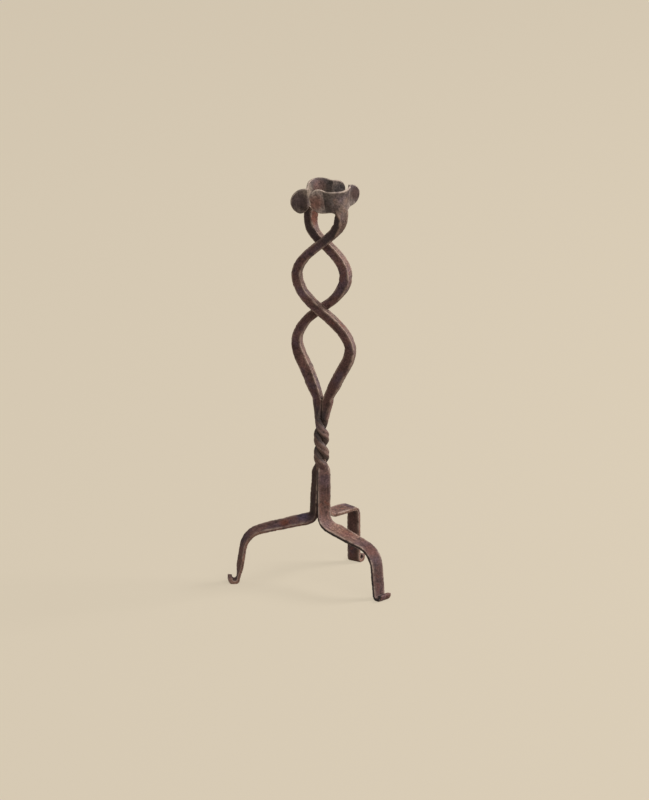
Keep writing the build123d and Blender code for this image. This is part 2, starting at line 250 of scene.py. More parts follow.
def outline(width, depth, corner):
    """Points round a rounded rectangle: place, outward direction and how near each is to a corner."""
    turns = ((1, 1), (-1, 1), (-1, -1), (1, -1))
    arcs = []
    for quarter, (side_x, side_y) in enumerate(turns):
        middle = Vector((side_x * (width / 2 - corner), side_y * (depth / 2 - corner)))
        angles = [(quarter + step / CORNER_STEPS) * math.pi / 2 for step in range(CORNER_STEPS + 1)]
        arcs.append([(middle, Vector((math.cos(angle), math.sin(angle)))) for angle in angles])
    points = []
    for quarter in range(4):
        arc = arcs[quarter]
        points += [(middle + out * corner, out, 1.0) for middle, out in arc]
        start = arc[-1][0] + arc[-1][1] * corner
        onward = arcs[(quarter + 1) % 4][0]
        end = onward[0] + onward[1] * corner
        for step in range(1, SIDE_STEPS):
            share = step / SIDE_STEPS
            near_edge = max(0.0, 1 - 4 * min(share, 1 - share)) ** 2 * 0.6
            points.append((start.lerp(end, share), arc[-1][1], near_edge))
    return points


def hammered(point, out, edge, seed, rough=1.0):
    """A point moved in or out by the hammer marks, which are roughest along a bar's edges."""
    place = point + Vector((seed, -seed, seed * 0.5))
    broad = noise.noise(place * BROAD_MARKS[1]) * BROAD_MARKS[0]
    dent = noise.noise(place * DENTS[1]) * DENTS[0]
    notch = min(0.0, noise.noise(place * NOTCHES[1])) * NOTCHES[0] * edge
    nick = noise.noise(place * NICKS[1]) * NICKS[0] * (0.3 + 0.7 * edge)
    return point + out * rough * (broad + dent + notch + nick - 0.5 * BROAD_MARKS[0])


def bar_ring(centre, across, up, width, depth, corner, seed, painted_lighting, rough=1.0):
    """One hammered section of a bar, as points with their nearness to an edge and the painted highlight (1) or
    painted shade (-1) on each, which the function passed in gives for an outward direction."""
    ring = []
    for place, out, edge in outline(width, depth, corner):
        point = centre + across * place.x + up * place.y
        direction = across * out.x + up * out.y
        ring.append((hammered(point, direction, edge, seed, rough), edge * rough, painted_lighting(out)))
    return ring


def closing_rings(ring, along):
    """Rings that round off the end of a bar."""
    centre = sum((point for point, edge, painted_light in ring), Vector()) / len(ring)
    rings = []
    for size, push in ((0.93, 0.16), (0.80, 0.26), (0.45, 0.30)):
        pushed = along * push * MM
        rings.append([(centre.lerp(point, size) + pushed, 0.6 * edge, painted_light) for point, edge, painted_light in ring])
    return rings


def store(piece, name, values):
    """Stores a value for each point of a piece, where there are any."""
    if values:
        piece.data.attributes.new(name, "FLOAT", "POINT").data.foreach_set("value", values)


def mesh_piece(name, points, faces, wear, painted_light, runs):
    """A smooth mesh from points and faces, with its wear, its painted highlights and shade and the way round and
    along each surface stored on it."""
    mesh = bpy.data.meshes.new(name)
    mesh.from_pydata(points, [], faces)
    layer = mesh.uv_layers.new(name="surface")
    for polygon in mesh.polygons:
        for loop in polygon.loop_indices:
            layer.data[loop].uv = runs[mesh.loops[loop].vertex_index]
    shaped = bmesh.new()
    shaped.from_mesh(mesh)
    bmesh.ops.recalc_face_normals(shaped, faces=shaped.faces)
    shaped.to_mesh(mesh)
    shaped.free()
    mesh.shade_smooth()
    mesh.set_sharp_from_angle(angle=math.radians(60))
    piece = bpy.data.objects.new(name, mesh)
    store(piece, "wear", wear)
    store(piece, "painted_light", painted_light)
    bpy.context.scene.collection.objects.link(piece)
    return piece


def tube(name, rings, painted_shade=(), sheet=()):
    """A closed bar through its rings, with the painted shade on each ring and how far it has become sheet."""
    count = len(rings[0])
    points, wear, painted_lights, runs, faces = [], [], [], [], []
    along = 0.0
    for index, ring in enumerate(rings):
        if index:
            along += (ring[0][0] - rings[index - 1][0][0]).length
        for turn, (point, edge, painted_light) in enumerate(ring):
            points.append(point)
            wear.append(edge)
            painted_lights.append(painted_light)
            runs.append((abs(2 * turn / count - 1), along))
    for index in range(len(rings) - 1):
        low, high = index * count, (index + 1) * count
        for turn in range(count):
            onward = (turn + 1) % count
            faces.append((low + turn, low + onward, high + onward, high + turn))
    faces.append(tuple(range(count)))
    faces.append(tuple((len(rings) - 1) * count + turn for turn in range(count)))
    bar = mesh_piece(name, points, faces, wear, painted_lights, runs)
    store(bar, "painted_shade", [value for value in painted_shade for turn in range(count)])
    store(bar, "sheet", [value for value in sheet for turn in range(count)])
    return bar


# The two long bars. side is 1 for the front one and -1 for the rear one.

def lean_at(height):
    """Sideways lean of the stem's line, which straightens again at the lower crossing."""
    if height < CROTCH:
        return CROTCH_LEAN * ease(height, TWIST_TOP - CROTCH_LENGTH, CROTCH)
    raised = mix(CROTCH_LEAN, LOWER_LOOP_LEAN, ease(height, CROTCH, LOWER_LOOP))
    return raised * (1 - ease(height, LOWER_LOOP, LOWER_CROSSING))


def plane_direction(side, height):
    """Direction in which the arms stand apart: along the loops, then turning to face the cup."""
    return mix(LOOP_DIRECTION, NECK_DIRECTION[side], ease(height, NECK_START, NECK))


def arm_centre(side, height):
    """Centre of the arm's bar at a height."""
    turned = ease(height, NECK_START, NECK)
    apart = ease(height, CROTCH - CROTCH_LENGTH, LOWER_LOOP - 8 * MM) * (1 - turned)
    direction = plane_direction(side, height)
    outwards = side * smooth_line(ARM_STATIONS, height) + lean_at(height)
    forwards = side * PLANE_OFFSET * apart
    place = STEM + heading(direction) * outwards + heading(direction - 90) * forwards + (CUP - STEM) * turned
    return Vector((place.x, place.y, height))


def arm_depth(side, height):
    """Size of the arm's bar in the plane of the loops."""
    shoulder = mix(CROTCH_DEPTH, SHOULDER_DEPTH, ease(height, CROTCH, CROTCH + 12 * MM))
    share = min(max((height - LOWER_CROSSING) / (UPPER_CROSSING - LOWER_CROSSING), 0.0), 1.0)
    middle = ARM_BAR + MIDDLE_EXTRA[side] * math.sin(math.pi * share) ** 2
    return mix(shoulder, middle, ease(height, SHOULDER, LOWER_LOOP + 6 * MM))


def arm_ring(side, height):
    """Section of an arm, level at the crotch and square to the bar's course above it."""
    step = 0.2 * MM
    course = (arm_centre(side, height + step) - arm_centre(side, height - step)).normalized()
    along = Vector((0, 0, 1)).lerp(course, ease(height, CROTCH, CROTCH + 10 * MM)).normalized()
    sideways = heading(plane_direction(side, height) + 90)
    loop_share = (height - LOWER_CROSSING) / (UPPER_CROSSING - LOWER_CROSSING)
    if side < 0 and 0 < loop_share < 1:
        turn = math.radians(REAR_BAR_TURN) * math.sin(math.pi * loop_share) ** 2
        sideways = Matrix.Rotation(turn, 3, along) @ sideways
    across = sideways.cross(along)
    width = mix(ARM_BAR, NECK_WIDTH[side], ease(height, NECK_START, NECK_END))
    # Painted light: the faces on the lamp's side of the bar get a painted highlight, and from the upper crossing up the
    # other faces get painted shade
    painted_dark = 0.75 * ease(height, UPPER_CROSSING - 2 * MM, UPPER_CROSSING + 5 * MM)

    def painted_lighting(out):
        facing = max(0.0, out.x)
        return facing ** 4 - painted_dark * (1 - facing ** 2)

    return bar_ring(arm_centre(side, height), across, sideways, arm_depth(side, height), width, ARM_CORNER, side,
                    painted_lighting)


def spread_ring(side, height):
    """Section of the arm's end, which thins and widens until it is one with the jaw's wall."""
    share = (height - NECK) / (SPREAD_TOP - NECK)
    outer = CANDLE_RADIUS + SHEET
    proud = (NECK_REACH + ARM_BAR / 2 - outer) * (1 - ease(share, 0.0, 1.05)) ** 1.2
    sunk = mix(outer - NECK_REACH + ARM_BAR / 2, 0.5 * MM, ease(height, NECK, JAW_BASE + 0.4 * MM))
    half_width = mix(NECK_WIDTH[side] / 2, SPREAD_HALF_WIDTH, share ** 0.8)
    feather = ease(share, 0.0, 0.5)
    direction = plane_direction(side, height)
    ring = []
    for place, out, edge in outline(2, 2, 0.24):
        outward = side * place.x
        crown = mix(1.0, 1 - abs(place.y) ** 2.4, feather)
        radius = outer + outward * (proud * crown if outward > 0 else sunk)
        turned = direction + side * math.degrees(place.y * half_width / outer)
        point = CUP + heading(turned) * side * radius
        point.z = height
        worn = edge * (1 - feather)
        # The outward face keeps a painted highlight, which fades as the end becomes sheet
        painted_lighting = max(0.0, side * out.x) ** 2 * (1 - feather)
        ring.append((hammered(point, heading(turned) * side * outward, worn, side), worn, painted_lighting))
    return ring


def core_free(height):
    """How far the strands are out of the legs' weld, from 0 below to 1 above."""
    return ease(height, TWIST_BOTTOM - 2 * MM, TWIST_BOTTOM + 3 * MM) * (1 - ease(height, TWIST_TOP, CROTCH))


def strand_ring(side, height):
    """Level section of a strand of the twist."""
    drawn = ease(height, TWIST_TOP, CROTCH)
    core = 1 - ease(height, TWIST_BOTTOM - 9 * MM, TWIST_BOTTOM)
    depth = mix(mix(STRAND_DEPTH, CROTCH_DEPTH, drawn), CORE_DEPTH, core)
    width = mix(mix(STRAND_WIDTH, ARM_BAR, drawn), CORE_WIDTH, core)
    corner = mix(mix(STRAND_CORNER, ARM_CORNER, drawn), CORE_CORNER, core)
    waist = 1 - WAIST_DRAW * math.exp(-((height - WAIST) / WAIST_SPAN) ** 2)
    depth, width, corner = depth * waist, width * waist, corner * waist
    turned = min(max((TWIST_TOP - height) / (TWIST_TOP - TWIST_BOTTOM), 0.0), 1.0)
    direction = LOOP_DIRECTION + TWIST_TURN * turned
    gap = CROTCH_GAP * ease(height, CROTCH - CROTCH_LENGTH, CROTCH)
    apart = PLANE_OFFSET * ease(CROTCH, CROTCH - CROTCH_LENGTH, LOWER_LOOP - 8 * MM) * ease(height, TWIST_TOP, CROTCH)
    centre = STEM + heading(direction) * (side * (depth + gap) / 2) + heading(LOOP_DIRECTION) * lean_at(height)
    centre += heading(LOOP_DIRECTION - 90) * side * apart
    centre.z = height
    twisted = core_free(height)

    # Painted light on the twist: a painted highlight on each strand's outer face, and painted shade on its inner face,
    # where the strands meet, and on its narrow sides
    def painted_lighting(out):
        facing = side * out.x
        return twisted * (0.8 * max(0.0, facing) ** 2 - 0.9 * max(0.0, -facing) - 0.9 * abs(out.y) ** 4)

    return bar_ring(centre, heading(direction), heading(direction + 90), depth, width, corner, side, painted_lighting, 0.3)


def spaced(start, end, spacing):
    """Values from start to end, both included, at most the spacing apart."""
    count = math.ceil(abs(end - start) / spacing)
    return [mix(start, end, step / count) for step in range(count + 1)]


def make_arm(name, side):
    """One arm from the top of the twist to its leaf on the jaw's back."""
    heights = spaced(CROTCH, NECK_END, RING_SPACING * 0.75)
    ends = spaced(NECK, SPREAD_TOP, RING_SPACING)
    rings = [arm_ring(side, height) for height in heights] + [spread_ring(side, height) for height in ends]
    arm = tube(name, rings, sheet=[ease(height, NECK - 5 * MM, NECK + 3 * MM) for height in heights + ends])
    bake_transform(arm)
    return arm


def make_strand(name, side):
    """One strand, from the core between the legs up to the foot of its arm."""
    rings = [strand_ring(side, height) for height in spaced(CORE_END, TWIST_BOTTOM - 6 * MM, RING_SPACING * 2)]
    rings += [strand_ring(side, height) for height in spaced(TWIST_BOTTOM - 5.7 * MM, CROTCH, RING_SPACING * 0.6)]
    return tube(name, rings)


# The legs

def filleted(corners, radii):
    """Points along a line through corners, each inner one rounded to its radius."""
    points = [corners[0]]
    for before, corner, after, radius in zip(corners, corners[1:], corners[2:], radii):
        arrive = (corner - before).normalized()
        leave = (after - corner).normalized()
        bend = arrive.angle(leave)
        trim = radius * math.tan(bend / 2)
        start = corner - arrive * trim
        side = 1 if arrive.cross(leave) > 0 else -1
        middle = start + Vector((-arrive.y, arrive.x)) * radius * side
        for step in range(9):
            turned = Matrix.Rotation(bend * side * step / 8, 2) @ (start - middle)
            points.append(middle + turned)
    points.append(corners[-1])
    return points


def evenly(points, spacing):
    """The same line as evenly spaced points."""
    even = [points[0]]
    carried = 0.0
    for start, end in zip(points, points[1:]):
        length = (end - start).length
        place = spacing - carried
        while place <= length:
            even.append(start.lerp(end, place / length))
            place += spacing
        carried = length - (place - spacing)
    even.append(points[-1])
    return even


def softened(points, rounds):
    """A line with its bends eased, as a smith's are."""
    for turn in range(rounds):
        inner = [(before + here * 2 + after) / 4 for before, here, after in zip(points, points[1:], points[2:])]
        points = [points[0]] + inner + [points[-1]]
    return points


def leg_line(leg):
    """Middle line of a leg as (reach, height) from its weld tip to the end of its curl."""
    foot = Vector((leg["foot"] * MM, CURL_RADIUS + LEG_TIP_THICKNESS / 2 - FOOT_FLAT))
    stand = leg["stem"][0] * MM
    corners = [
        Vector((stand, WELD_TOP)),
        Vector((stand + leg["splay"] * MM, leg["root"] * MM)),
        Vector(leg["knee"]) * MM,
        foot - Vector((CURL_RADIUS, 0)),
    ]
    run = evenly(filleted(corners, [radius * MM for radius in leg["bends"]]), RING_SPACING)
    run = softened(run, 12)
    curl = []
    for angle in spaced(180.0, 180.0 + CURL_TURN, 7.0)[1:]:
        curl.append(foot + Vector((math.cos(math.radians(angle)), math.sin(math.radians(angle)))) * CURL_RADIUS)
    return run + curl, len(run)


def make_leg(name, leg):
    """One flat leg from the leaf tip of its weld to its curled foot."""
    line, run_count = leg_line(leg)
    stand = leg["stem"][0] * MM
    rings, painted_shade = [], []
    for index, place in enumerate(line):
        share = min(index / run_count, 1.0)
        before, after = line[max(index - 1, 0)], line[min(index + 1, len(line) - 1)]
        tangent = (after - before).normalized()
        swing = ease(place.x, stand + leg["splay"] * MM, stand + LEG_SWING)
        from_tip = ease(place.y, WELD_TOP, WELD_TOP - WELD_TAPER)
        radial = heading(mix(leg["stem"][1], leg["direction"], swing))
        level = Vector((-radial.y, radial.x, 0))
        roll = mix(leg["rolls"][0], leg["rolls"][1], swing)
        roll = mix(roll, leg["rolls"][2], ease(share, 0.54, 0.73)) * (1 - ease(share, 0.92, 0.99))
        along = radial * tangent.x + Vector((0, 0, tangent.y))
        across = Matrix.Rotation(math.radians(roll), 3, along) @ level
        thick = mix(LEG_THICKNESS, LEG_TIP_THICKNESS, share)
        thick += CURL_SWELL * ease(index, run_count, len(line) - 1)
        stem_width = mix(WELD_TIP_WIDTH, LEG_STEM_WIDTH, from_tip ** 0.6)
        root_width, knee_width, foot_width = leg["widths"]
        width = mix(root_width, knee_width, ease(share, 0.15, 0.55))
        width = mix(width, foot_width, ease(share, 0.55, 0.9)) * MM
        width = mix(stem_width, width, swing)
        depth = mix(WELD_TIP_THICKNESS, thick, from_tip)
        sunk = radial * (depth - thick) / 2 * (1 - swing)
        centre = STEM + radial * place.x + Vector((0, 0, place.y)) + sunk
        corner = min(LEG_CORNER, depth * 0.4)
        at_stem, on_run, below_knee = leg["painted_lighting"]
        broad = mix(mix(at_stem, on_run, swing), below_knee, ease(share, 0.55, 0.72))
        left, right = leg["sides"][0] * swing, leg["sides"][1]

        # Painted highlight (positive) or painted shade (negative) on the upper broad face and on the left and right
        # sides
        def painted_lighting(out):
            return broad * max(0.0, out.y) ** 2 + left * max(0.0, out.x) ** 4 + right * max(0.0, -out.x) ** 4

        rings.append(bar_ring(centre, across, along.cross(across), width, depth, corner, leg["foot"], painted_lighting))
        # Painted shade on the part beside the stem
        painted_shade.append(leg["painted_shade"] * (1 - swing) * from_tip)
    rings += closing_rings(rings[-1], along)
    return tube(name, rings, painted_shade + [0.0] * 3)


# The jaws

def jaw_point(jaw, turn, height):
    """Middle of the wall's sheet at a turn from the jaw's direction, and how far through its span that is."""
    share = (height - JAW_BASE) / jaw["height"]
    half_span = mix(HALF_SPAN_BASE, HALF_SPAN_RIM, share)
    flare = RIM_FLARE * max(0.0, (height - GRIP_TOP) / (JAW_BASE + jaw["height"] - GRIP_TOP)) ** 1.7
    radius = CANDLE_RADIUS + SHEET / 2 + flare * math.cos(turn * math.pi / 2)
    place = CUP + heading(jaw["direction"] + turn * half_span) * radius
    return Vector((place.x, place.y, height))


def lobe_extent(jaw, lobe, distance):
    """Lowest and highest point of a lobe at a distance from its fold."""
    turn, length, tall, drop, painted_shade = lobe
    middle = JAW_BASE + jaw["height"] / 2 - drop * MM
    along = (distance - LOBE_CENTRE_OUT) / (length * MM - LOBE_CENTRE_OUT)
    half = tall * MM / 2 * math.sqrt(max(0.0, 1 - along * along))
    return middle - half, middle + half


def jaw_columns(jaw):
    """Columns across a jaw from lobe to lobe: the turn within the wall, the lobe with the distance out along it,
    and the lowest and highest point there."""
    columns = []
    for step in range(26, 0, -1):
        out = jaw["left"][1] * MM * math.sin(step / 26 * math.pi / 2) * 0.995
        columns.append((-1.0, jaw["left"], out, *lobe_extent(jaw, jaw["left"], out)))
    for step in range(81):
        turn = step / 40 - 1
        from_neck = abs(turn * HALF_SPAN_BASE + jaw["direction"] - jaw["neck"]) * math.radians(CANDLE_RADIUS)
        low = JAW_BASE - NECK_FLARE * (1 - ease(from_neck, 2.0 * MM, 5.5 * MM))
        high = JAW_BASE + jaw["height"] - jaw["fall"] * MM * (turn - jaw["peak"]) ** 2
        columns.append((turn, None, 0.0, low, high))
    for step in range(1, 27):
        out = jaw["right"][1] * MM * math.sin(step / 26 * math.pi / 2) * 0.995
        columns.append((1.0, jaw["right"], out, *lobe_extent(jaw, jaw["right"], out)))
    return columns


def make_jaw(name, jaw):
    """One jaw: a single hammered sheet from lobe to lobe, folded at both ends of its wall."""
    columns = jaw_columns(jaw)
    lows = [Vector((low, high)) for turn, lobe, out, low, high in columns]
    tips = (len(jaw_columns(jaw)) - 81) // 2
    middle_part = softened(lows[tips - 8:len(lows) - tips + 8], 24)
    lows[tips - 8:len(lows) - tips + 8] = middle_part
    edge_steps = ((0.0, 0.40), (0.12 * MM, 0.78), (0.35 * MM, 0.96), (0.8 * MM, 1.0))
    inner_rows = 24
    grid = []
    for row in range(2 * len(edge_steps) + inner_rows):
        line = []
        for index, (turn, lobe, out, low, high) in enumerate(columns):
            low, high = lows[index]
            tall = high - low
            if row < len(edge_steps):
                height = low + min(edge_steps[row][0], tall * 0.1 * row)
            elif row >= inner_rows + len(edge_steps):
                back = 2 * len(edge_steps) + inner_rows - 1 - row
                height = high - min(edge_steps[back][0], tall * 0.1 * back)
            else:
                inset = min(edge_steps[-1][0], tall * 0.3)
                share = (row - len(edge_steps) + 1) / (inner_rows + 1)
                height = mix(low + inset, high - inset, share)
            place = jaw_point(jaw, turn, height)
            if lobe:
                place = place + heading(jaw["direction"] + lobe[0]) * out
            line.append(place)
        grid.append(softened(line, 5))
    rows, count = len(grid), len(columns)
    points, wear, painted_lights, painted_shade, runs, faces = [], [], [], [], [], []
    for face in (1, -1):
        for row, line in enumerate(grid):
            from_edge = min(row, rows - 1 - row)
            thin = edge_steps[from_edge][1] if from_edge < len(edge_steps) else 1.0
            for index, place in enumerate(line):
                before, after = line[max(index - 1, 0)], line[min(index + 1, count - 1)]
                above, below = grid[min(row + 1, rows - 1)][index], grid[max(row - 1, 0)][index]
                out = (after - before).cross(above - below).normalized() * face
                from_tip = min(index, count - 1 - index)
                end = (0.4, 0.8)[from_tip] if from_tip < 2 else 1.0
                edge = 1.0 if from_edge < 3 or from_tip < 6 else 0.0
                wave = noise.noise(place * 150) * 0.22 * MM * face
                dent = noise.noise(place * 420 + Vector((face, 0, 0))) * 0.08 * MM
                points.append(place + out * (SHEET / 2 * min(thin, end) + wave + dent))
                wear.append(edge)
                turn, lobe = columns[index][:2]
                painted_lights.append(0.0)
                # Painted shade: each lobe's own amount, and on the wall a shade that darkens towards its turn -1 fold
                painted_shade.append(lobe[4] if lobe else JAW_PAINTED_SHADE * (1 - ease(turn, -0.9, -0.1)))
                runs.append((index / count, row / rows * 0.015))
    flat = rows * count
    for face in (0, 1):
        for row in range(rows - 1):
            for index in range(count - 1):
                first = face * flat + row * count + index
                faces.append((first, first + 1, first + count + 1, first + count))
    border = [index for index in range(count)]
    border += [row * count + count - 1 for row in range(1, rows)]
    border += [(rows - 1) * count + index for index in range(count - 2, -1, -1)]
    border += [row * count for row in range(rows - 2, 0, -1)]
    for here, onward in zip(border, border[1:] + border[:1]):
        faces.append((here, onward, flat + onward, flat + here))
    sheet = mesh_piece(name, points, faces, wear, painted_lights, runs)
    store(sheet, "painted_shade", painted_shade)
    return sheet


# Materials

def node(tree, kind, **settings):
    """A shader node with its settings."""
    made = tree.nodes.new(kind)
    for setting, value in settings.items():
        setattr(made, setting, value)
    return made


def noise_at(tree, source, scale, detail, roughness=0.55):
    """Noise in metres of the object."""
    made = node(tree, "ShaderNodeTexNoise")
    made.inputs["Scale"].default_value = scale
    made.inputs["Detail"].default_value = detail
    made.inputs["Roughness"].default_value = roughness
    tree.links.new(source, made.inputs["Vector"])
    return made.outputs["Fac"]


def remapped(tree, value, low, high, to_low=0.0, to_high=1.0):
    """A value stretched smoothly from one range to another."""
    made = node(tree, "ShaderNodeMapRange", interpolation_type="SMOOTHSTEP")
    for socket, amount in zip(("From Min", "From Max", "To Min", "To Max"), (low, high, to_low, to_high)):
        made.inputs[socket].default_value = amount
    tree.links.new(value, made.inputs["Value"])
    return made.outputs["Result"]


def calculated(tree, operation, first, second):
    """Two values joined by a sum."""
    made = node(tree, "ShaderNodeMath", operation=operation)
    for socket, value in zip(made.inputs, (first, second)):
        if isinstance(value, (int, float)):
            socket.default_value = value
        else:
            tree.links.new(value, socket)
    return made.outputs["Value"]


def tinted(tree, base, tint, amount, mode="MIX"):
    """One colour laid over another by an amount."""
    made = node(tree, "ShaderNodeMix", data_type="RGBA", blend_type=mode)
    for index, value in ((0, amount), (6, base), (7, tint)):
        socket = made.inputs[index]
        if isinstance(value, tuple):
            socket.default_value = (*value, 1.0)
        elif isinstance(value, (int, float)):
            socket.default_value = value
        else:
            tree.links.new(value, socket)
    return made.outputs[2]


def screen(red, green, blue):
    """A colour as it shows on a screen, 0 to 255, made linear."""
    return tuple(((value / 255 + 0.055) / 1.055) ** 2.4 for value in (red, green, blue))


def stored(tree, name):
    """A value stored on the points of the mesh."""
    return node(tree, "ShaderNodeAttribute", attribute_name=name).outputs["Fac"]


def forged_iron(name, dark, light, painted_light, worn, rust_share, violet_share, patches=(), sheet=None):
    """Blackened forged iron: mottled scale with a violet cast, rust, tints and painted light and shade in patches,
    painted highlights and painted shade from the values stored on the mesh, and paler worn edges.
    """
    material = bpy.data.materials.new(name)
    material.use_nodes = True
    tree = material.node_tree
    tree.nodes.clear()
    place = node(tree, "ShaderNodeTexCoord").outputs["Object"]
    surface = node(tree, "ShaderNodeUVMap", uv_map="surface").outputs["UV"]
    mottle = noise_at(tree, place, 330, 6, 0.62)
    grain = noise_at(tree, place, 1150, 4, 0.65)
    stretch = node(tree, "ShaderNodeMapping")
    stretch.inputs["Scale"].default_value = (55, 120, 1)
    tree.links.new(surface, stretch.inputs["Vector"])
    streaks = noise_at(tree, stretch.outputs["Vector"], 1, 4, 0.6)

    colour = tinted(tree, dark, light, remapped(tree, noise_at(tree, place, 60, 3), 0.38, 0.66))
    # Painted highlight, in streaks, where the stored value is positive, and painted shade where it is negative
    painted_lighting = calculated(tree, "MAXIMUM", stored(tree, "painted_light"), 0.0)
    painted_lighting = calculated(tree, "MULTIPLY", painted_lighting, remapped(tree, streaks, 0.38, 0.62, 0.1, 1.0))
    painted_dark = calculated(tree, "MAXIMUM", calculated(tree, "MULTIPLY", stored(tree, "painted_light"), -1.1), 0.0)
    colour = tinted(tree, colour, painted_light, painted_lighting)
    if sheet:
        colour = tinted(tree, colour, sheet, stored(tree, "sheet"))
    violet = remapped(tree, noise_at(tree, place, 85, 2), 0.46, 0.68, 0.0, violet_share)
    colour = tinted(tree, colour, VIOLET, violet)
    rusty = calculated(tree, "ADD", calculated(tree, "MULTIPLY", mottle, 0.55),
                       calculated(tree, "MULTIPLY", noise_at(tree, place, 110, 3), 0.45))
    colour = tinted(tree, colour, RUST, remapped(tree, rusty, 0.58 - rust_share, 0.74 - rust_share, 0.0, 0.7))
    for centre, radius, tint, strength in patches:
        away = node(tree, "ShaderNodeVectorMath", operation="DISTANCE")
        tree.links.new(place, away.inputs[0])
        away.inputs[1].default_value = centre
        ragged = calculated(tree, "ADD", away.outputs["Value"], calculated(tree, "MULTIPLY", mottle, radius * 0.6))
        near = remapped(tree, ragged, radius * 0.7, radius * 1.3, strength, 0.0)
        colour = tinted(tree, colour, tint, near)
    colour = tinted(tree, colour, PAINTED_SHADE_COLOUR, painted_dark)
    shade = remapped(tree, streaks, 0.3, 0.7, 0.82, 1.14)
    speck = remapped(tree, grain, 0.34, 0.66, 0.62, 1.36)
    pits = remapped(tree, mottle, 0.32, 0.52, 0.45, 1.0)
    # Darker where shade is painted
    unshaded = calculated(tree, "SUBTRACT", 1.0, stored(tree, "painted_shade"))
    depth = calculated(tree, "MULTIPLY", calculated(tree, "MULTIPLY", shade, speck),
                       calculated(tree, "MULTIPLY", pits, unshaded))
    scale = node(tree, "ShaderNodeVectorMath", operation="SCALE")
    tree.links.new(colour, scale.inputs[0])
    tree.links.new(depth, scale.inputs["Scale"])
    broken = remapped(tree, noise_at(tree, place, 210, 4), 0.36, 0.60, 0.1, 0.85)
    colour = tinted(tree, scale.outputs["Vector"], worn, calculated(tree, "MULTIPLY", stored(tree, "wear"), broken))

    shader = node(tree, "ShaderNodeBsdfPrincipled")
    shader.inputs["Metallic"].default_value = 0.1
    shader.inputs["Specular IOR Level"].default_value = 0.25
    tree.links.new(colour, shader.inputs["Base Color"])
    tree.links.new(remapped(tree, mottle, 0.3, 0.7, 0.58, 0.82), shader.inputs["Roughness"])
    rough = calculated(tree, "ADD", mottle, calculated(tree, "MULTIPLY", grain, 0.35))
    rough = calculated(tree, "ADD", rough, calculated(tree, "MULTIPLY", streaks, 0.25))
    bump = node(tree, "ShaderNodeBump")
    bump.inputs["Strength"].default_value = 0.5
    bump.inputs["Distance"].default_value = 0.3 * MM
    tree.links.new(rough, bump.inputs["Height"])
    tree.links.new(bump.outputs["Normal"], shader.inputs["Normal"])
    output = node(tree, "ShaderNodeOutputMaterial")
    tree.links.new(shader.outputs["BSDF"], output.inputs["Surface"])
    return material


RUST = screen(126, 74, 56)
VIOLET = screen(92, 80, 98)
# Colour of the painted shade on the sides turned from the lamp
PAINTED_SHADE_COLOUR = screen(64, 55, 57)
left_leg_blue = STEM + Vector((-12, -1, 43)) * MM
left_leg_rust = STEM + Vector((-23, -4, 40)) * MM
front_leg_run = STEM + Vector((16, -15, 38)) * MM
front_leg_knee = STEM + Vector((31, -31, 31)) * MM
front_lobe = CUP + Vector((-8, -13, 246)) * MM
shaded_right_lobe = CUP + Vector((15.8, 2.9, 247)) * MM
shaded_left_lobe = CUP + Vector((-17.5, -1.5, 243)) * MM
shaded_back_lobe = CUP + Vector((7.3, 13.6, 246)) * MM
rear_wall = CUP + Vector((-5, 11, 249)) * MM
painted_light_wall = CUP + Vector((-12.2, 3.3, 249)) * MM
rear_neck = CUP + Vector((-9, 7, 231)) * MM
irons = {}
# Each iron: its dark and light tones, its painted highlight colour, its worn edge colour, its shares of rust and violet
irons["arm_iron"] = forged_iron("blackened_bar", screen(94, 67, 63), screen(122, 88, 81), screen(140, 116, 104),
                                screen(172, 146, 130), 0.03, 0.4, patches=((rear_neck, 7 * MM, RUST, 0.8),),
                                sheet=screen(118, 98, 86))
# On the cup: the pale patch on the rear wall's inner left is a painted highlight, and the dark patches on the right,
# left and back lobes are painted shade with a reddish, violet and bluish cast; the other patches are rust
irons["cup_iron"] = forged_iron("rubbed_sheet", screen(110, 92, 85), screen(150, 134, 124), screen(140, 124, 113),
                                screen(190, 170, 154), -0.03, 0.3,
                                patches=((front_lobe, 7 * MM, RUST, 0.5), (rear_wall, 6 * MM, RUST, 0.4),
                                         (painted_light_wall, 7 * MM, screen(156, 138, 122), 0.8),
                                         (shaded_right_lobe, 6 * MM, screen(92, 66, 58), 0.8),
                                         (shaded_left_lobe, 8 * MM, screen(98, 80, 82), 0.7),
                                         (shaded_back_lobe, 6 * MM, screen(94, 88, 92), 0.7)))
irons["leg_iron"] = forged_iron("rusty_flat_bar", screen(94, 67, 62), screen(122, 90, 83), screen(172, 134, 116),
                                screen(176, 152, 138), 0.06, 0.35,
                                patches=((left_leg_blue, 6 * MM, screen(88, 78, 100), 0.7),
                                         (left_leg_rust, 5 * MM, RUST, 0.9), (front_leg_run, 8 * MM, RUST, 0.45),
                                         (front_leg_knee, 8 * MM, RUST, 0.7)))


# The pieces; the strands, legs and jaws on the bodies that they ride on

def dress(piece, slot, replaced, body=None):
    """Gives a piece its iron, hides the CAD node that it stands for and puts it on the body that it rides on, if any.
    """
    piece.data.materials.append(irons[slot])
    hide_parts(replaced)
    if body:
        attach(piece, body)


for name, side, body in (("front", 1, "front_spring_arm"), ("rear", -1, "rear_spring_arm")):
    dress(make_arm(f"{name}_arm_bar", side), "arm_iron", f"{name}_arm")
    dress(make_strand(f"{name}_twist_strand", side), "arm_iron", f"{name}_arm_strand", "stem")
for name, leg in LEGS.items():
    dress(make_leg(f"{name}_bar", leg), "leg_iron", name, "stem")
for name, jaw in JAWS.items():
    dress(make_jaw(f"{name}_sheet", jaw), "cup_iron", name, jaw["body"])

# Every point stays inside the CAD model's box
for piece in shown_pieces():
    for vertex in piece.data.vertices:
        if "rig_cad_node" not in piece:
            vertex.co = [min(max(value, low), high) for value, low, high in zip(vertex.co, *cad_box)]

